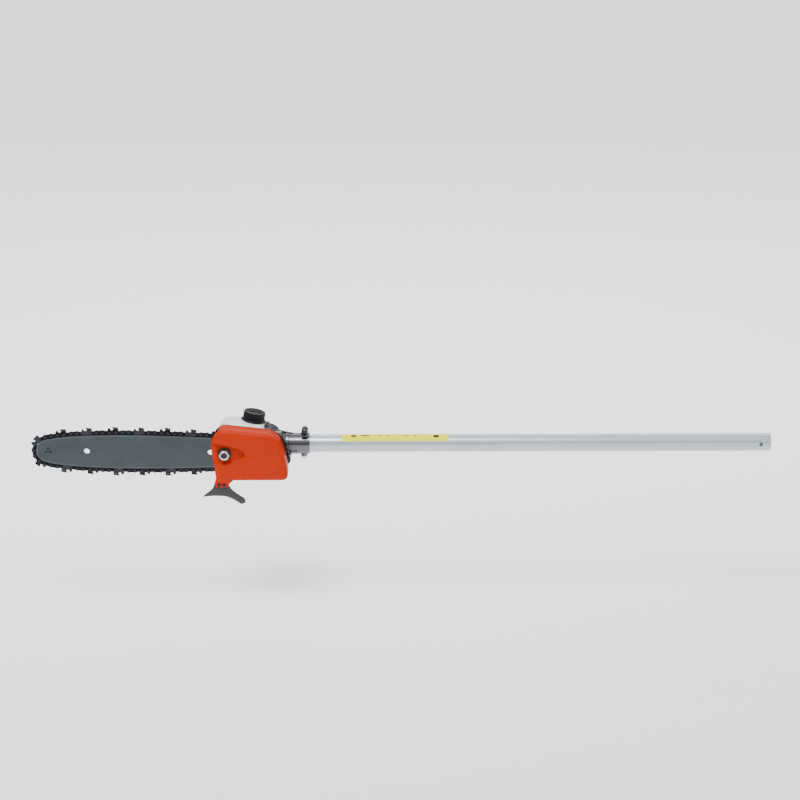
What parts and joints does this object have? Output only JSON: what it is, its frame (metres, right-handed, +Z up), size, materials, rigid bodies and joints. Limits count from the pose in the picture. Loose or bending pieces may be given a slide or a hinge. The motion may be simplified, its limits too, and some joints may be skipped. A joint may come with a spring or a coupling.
{
  "type": "pole saw head on a fixed drive tube",
  "caption": "Pole saw attachment: a short guide bar with saw chain, geared head with oil tank and limb hook, clamped on a shaft-driven aluminium tube with a quick-fit end.",
  "frame": {"origin": "centre of the drive tube's free end, on the tube's axis", "axes": "+X along the tube, out of its free end; the saw head lies towards -X; +Z up with the oil cap on top; the sprocket cover faces -Y"},
  "size_m": [1.0667, 0.0927, 0.1237],
  "materials": {
    "tube_aluminium": "drawn and clear-anodised",
    "cast_alloy": "die-cast, shot-blasted",
    "hook_alloy": "grey powder coat",
    "steel": "zinc-plated or ground",
    "dark_steel": "black oxide",
    "bar_steel": "ground, grey lacquer",
    "bronze": "sintered bronze",
    "rubber": "moulded",
    "orange_plastic": "moulded, semi-gloss",
    "black_plastic": "moulded, satin",
    "milky_plastic": "translucent natural polyethylene",
    "felt": "felt over a core"
  },
  "bodies": {
    "root": {"drive_tube": "tube_aluminium", "shaft_sleeve_1": "rubber", "shaft_bush_1": "bronze", "shaft_sleeve_2": "rubber", "shaft_bush_2": "bronze", "shaft_sleeve_3": "rubber", "shaft_bush_3": "bronze", "gear_case": "cast_alloy", "rear_case_cap": "cast_alloy", "rear_cap_screw_1": "steel", "rear_cap_screw_2": "steel", "rear_cap_screw_3": "steel", "input_bearing_1": "steel", "input_bearing_2": "steel", "bearing_circlip": "dark_steel", "spindle_bearing_1": "steel", "spindle_bearing_2": "steel", "spindle_seal": "rubber", "pump_body": "bronze", "bar_stud": "steel", "inner_guide_plate": "steel", "saw_chain": "dark_steel", "back_plate": "black_plastic", "plate_screw_1": "steel", "plate_screw_2": "steel", "oil_tank": "milky_plastic", "tank_screw_1": "steel", "tank_screw_2": "steel", "tank_grommet": "rubber", "pickup_hose": "rubber", "oil_filter": "felt", "pinch_bolt": "dark_steel", "locating_screw": "steel", "grease_plug": "dark_steel"},
    "spindle": {"drive_spindle": "steel", "crown_gear": "steel", "oil_worm": "steel", "drive_sprocket": "dark_steel", "sprocket_washer": "steel", "sprocket_clip": "dark_steel"},
    "input_shaft": {"drive_shaft": "steel", "input_pinion": "steel"},
    "pump": {"pump_plunger": "steel"},
    "bar": {"guide_bar": "bar_steel", "nose_race": "steel", "nose_rivet_1": "dark_steel", "nose_rivet_2": "dark_steel", "nose_rivet_3": "dark_steel", "tension_block": "steel"},
    "nose": {"nose_sprocket": "steel"},
    "tensioner": {"tension_screw": "steel"},
    "cap_lifted": {"cap_gasket": "rubber"},
    "cap": {"filler_cap": "black_plastic"},
    "cover": {"sprocket_cover": "orange_plastic", "limb_hook": "hook_alloy", "hook_screw_1": "dark_steel", "hook_screw_2": "dark_steel", "outer_guide_plate": "steel"},
    "nut_washer": {"nut_washer": "dark_steel"},
    "nut": {"bar_nut": "steel"}
  },
  "joints": [
    {"name": "spindle_spin", "type": "hinge", "parent": "root", "child": "spindle", "pos_m": [-0.7315, 0, 0], "axis": [0, 1, 0], "continuous": true, "deforming": ["saw_chain"]},
    {"name": "shaft_spin", "type": "hinge", "parent": "root", "child": "input_shaft", "pos_m": [-0.7315, 0, 0], "axis": [1, 0, 0], "continuous": true},
    {"name": "pump_spin", "type": "hinge", "parent": "root", "child": "pump", "pos_m": [-0.7315, -0.034, -0.0135], "axis": [1, 0, 0], "continuous": true},
    {"name": "bar_slide", "type": "slide", "parent": "root", "child": "bar", "axis": [0.9999, 0, -0.014], "range_m": [0, 0.008]},
    {"name": "nose_spin", "type": "hinge", "parent": "bar", "child": "nose", "pos_m": [-1.04147, -0.044, 0.00433], "axis": [0, 1, 0], "continuous": true},
    {"name": "tension_turn", "type": "hinge", "parent": "root", "child": "tensioner", "pos_m": [-0.7315, -0.0364, -0.0126], "axis": [1, 0, 0], "range_deg": [0, 3610]},
    {"name": "cap_lift", "type": "slide", "parent": "root", "child": "cap_lifted", "axis": [0.1736, 0, 0.9848], "range_m": [0, 0.012]},
    {"name": "cap_turn", "type": "hinge", "parent": "cap_lifted", "child": "cap", "pos_m": [-0.7499, 0.008, 0.0324], "axis": [0.1736, 0, 0.9848], "range_deg": [0, 1450]},
    {"name": "cover_off", "type": "slide", "parent": "root", "child": "cover", "axis": [0, -1, 0], "range_m": [0, 0.06]},
    {"name": "nut_backoff", "type": "slide", "parent": "cover", "child": "nut_washer", "axis": [0, -1, 0], "range_m": [0, 0.015]},
    {"name": "nut_turn", "type": "hinge", "parent": "nut_washer", "child": "nut", "pos_m": [-0.7885, 0, 0.0008], "axis": [0, -1, 0], "range_deg": [0, 4330]}
  ],
  "couplings": [
    {"joint": "shaft_spin", "follows": "spindle_spin", "ratio": -1.4286},
    {"joint": "nose_spin", "follows": "spindle_spin", "ratio": 0.85714},
    {"joint": "pump_spin", "follows": "spindle_spin", "ratio": 0.1},
    {"joint": "tension_turn", "follows": "bar_slide", "rad_per_m": 7854},
    {"joint": "cap_turn", "follows": "cap_lift", "rad_per_m": 2094.4},
    {"joint": "nut_turn", "follows": "nut_backoff", "rad_per_m": 5026.5}
  ]
}
